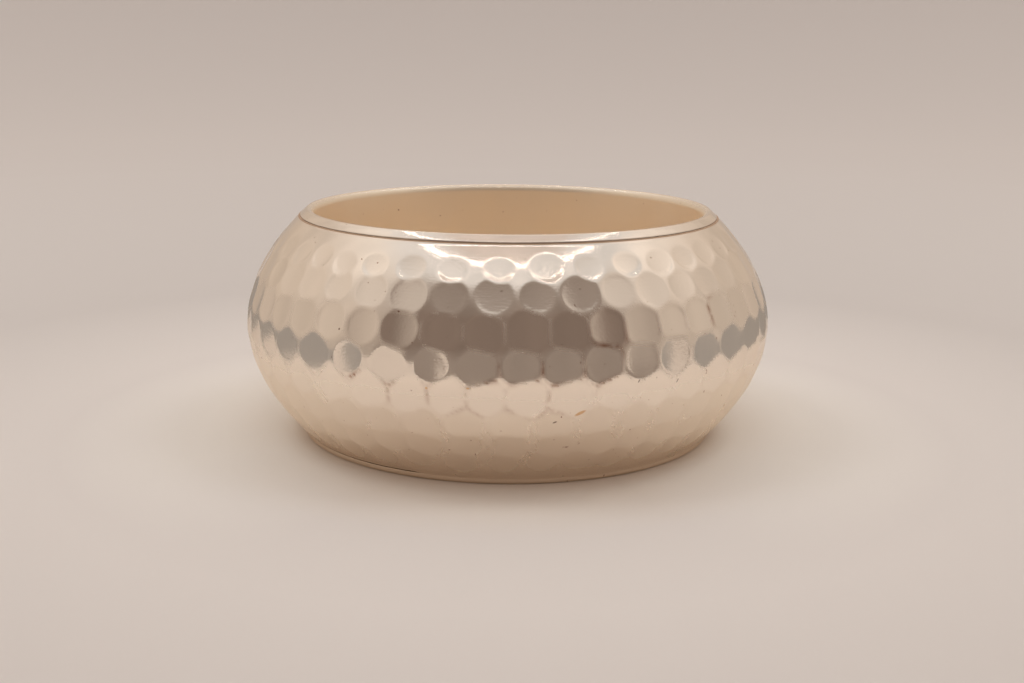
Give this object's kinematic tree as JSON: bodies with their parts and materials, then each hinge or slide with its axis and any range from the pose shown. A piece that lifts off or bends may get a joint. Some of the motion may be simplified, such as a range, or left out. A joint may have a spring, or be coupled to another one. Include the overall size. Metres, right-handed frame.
{
  "type": "bangle",
  "caption": "Wide rigid hollow bangle: a smooth inner sleeve with narrow turned-out rims, and a domed outer shell covered in rows of round hammer dents.",
  "frame": {"origin": "on the bangle's axis, in the plane of its lower rim, which it stands on", "axes": "+Z along the bangle's axis, up out of the wrist opening; -Y is the front; +X is to the right of a viewer at the front"},
  "size_m": [0.0877, 0.0877, 0.0376],
  "materials": {
    "polished_sleeve": "worn warm silver plate, softly polished",
    "hammered_shell": "hammered warm silver plate, polished, with brown tarnish along the ridges"
  },
  "bodies": {
    "root": {"inner_sleeve": "polished_sleeve", "outer_shell": "hammered_shell"}
  },
  "joints": []
}
